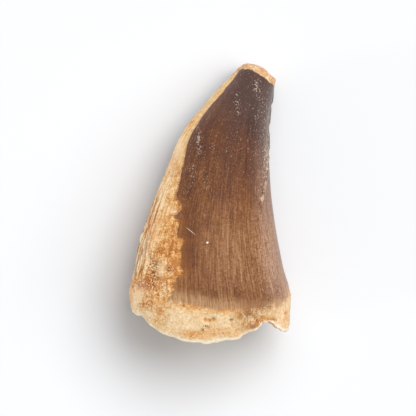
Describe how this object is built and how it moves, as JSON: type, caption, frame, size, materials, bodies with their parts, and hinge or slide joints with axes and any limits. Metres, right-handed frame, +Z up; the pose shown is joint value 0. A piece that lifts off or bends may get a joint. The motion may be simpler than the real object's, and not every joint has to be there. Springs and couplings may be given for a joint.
{
  "type": "fossil mosasaur tooth",
  "caption": "Fossil mosasaur tooth lying on its side: a curved conical crown in dark enamel, with a worn tip, bare dentine down its front edge and a short broken root stump.",
  "frame": {"origin": "on the resting surface, under the middle of the tooth's box", "axes": "+Y from the root to the tip, +X towards the rear edge, which is the hollow side of the curve, and +Z up"},
  "size_m": [0.026, 0.0448, 0.0205],
  "materials": {
    "tooth": "satin"
  },
  "bodies": {
    "root": {"tooth": "tooth"}
  },
  "joints": []
}
